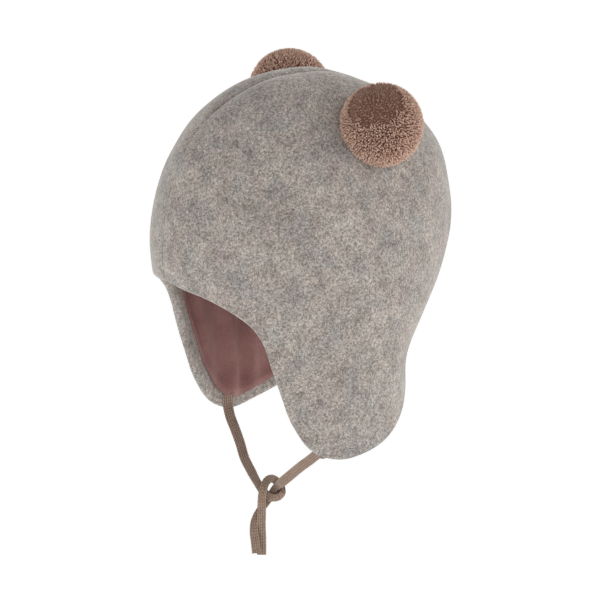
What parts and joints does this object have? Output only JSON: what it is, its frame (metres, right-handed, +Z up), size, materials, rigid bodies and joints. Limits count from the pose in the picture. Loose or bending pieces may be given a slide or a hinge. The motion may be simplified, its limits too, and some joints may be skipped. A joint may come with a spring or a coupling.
{
  "type": "baby hat with ears",
  "caption": "Soft ear-flap hat for a baby with a centre seam, jersey lining, pompon ears and braided ties knotted under the chin.",
  "frame": {"origin": "inside top of the crown, where the wearer's head carries the hat", "axes": "+Z up, the brow and the face opening towards -Y, the wearer's left ear towards +X"},
  "size_m": [0.1474, 0.1746, 0.2769],
  "materials": {
    "wool_fleece": "brushed grey-beige melange wool fleece",
    "jersey": "fine cotton jersey in dusty rose-brown",
    "pompon_yarn": "dense cut yarn pile in mottled rose-brown",
    "braid": "flat braided cotton tie in taupe"
  },
  "bodies": {
    "root": {"fleece_left": "wool_fleece", "fleece_right": "wool_fleece", "lining_left": "jersey", "lining_right": "jersey", "pompon_left": "pompon_yarn", "pompon_right": "pompon_yarn", "tie_left": "braid", "tie_right": "braid"}
  },
  "joints": []
}
